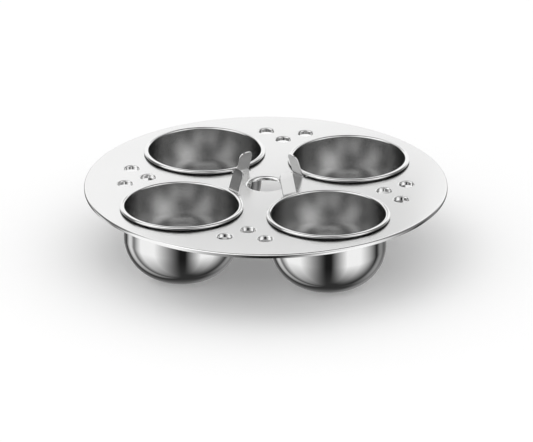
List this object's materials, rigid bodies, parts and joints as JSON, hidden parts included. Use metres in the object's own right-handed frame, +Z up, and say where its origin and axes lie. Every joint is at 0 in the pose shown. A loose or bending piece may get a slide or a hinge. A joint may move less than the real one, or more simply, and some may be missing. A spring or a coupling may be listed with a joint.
{
  "type": "egg poacher insert",
  "caption": "Round pressed steel tray with drawn vent holes and bent-up grip tabs, holding deep lift-out cups that poach eggs over a pan of water.",
  "frame": {"origin": "centre of the plane that the tray's turned-down lip rests on", "axes": "+Z up out of the cups, -Y towards the front, +X to the right; the cups stand on the diagonals"},
  "size_m": [0.24, 0.24, 0.0636],
  "materials": {
    "tray_steel": "satin polished stainless steel",
    "cup_steel": "polished outside, satin inside stainless steel"
  },
  "bodies": {
    "tray": {"tray": "tray_steel"},
    "cup_rear_right": {"cup_rear_right": "cup_steel"},
    "cup_rear_left": {"cup_rear_left": "cup_steel"},
    "cup_front_left": {"cup_front_left": "cup_steel"},
    "cup_front_right": {"cup_front_right": "cup_steel"}
  },
  "joints": [
    {"name": "cup_rear_right_lift", "type": "slide", "parent": "tray", "child": "cup_rear_right", "axis": [0, 0, 1], "range_m": [0, 0.075]},
    {"name": "cup_rear_left_lift", "type": "slide", "parent": "tray", "child": "cup_rear_left", "axis": [0, 0, 1], "range_m": [0, 0.075]},
    {"name": "cup_front_left_lift", "type": "slide", "parent": "tray", "child": "cup_front_left", "axis": [0, 0, 1], "range_m": [0, 0.075]},
    {"name": "cup_front_right_lift", "type": "slide", "parent": "tray", "child": "cup_front_right", "axis": [0, 0, 1], "range_m": [0, 0.075]}
  ]
}
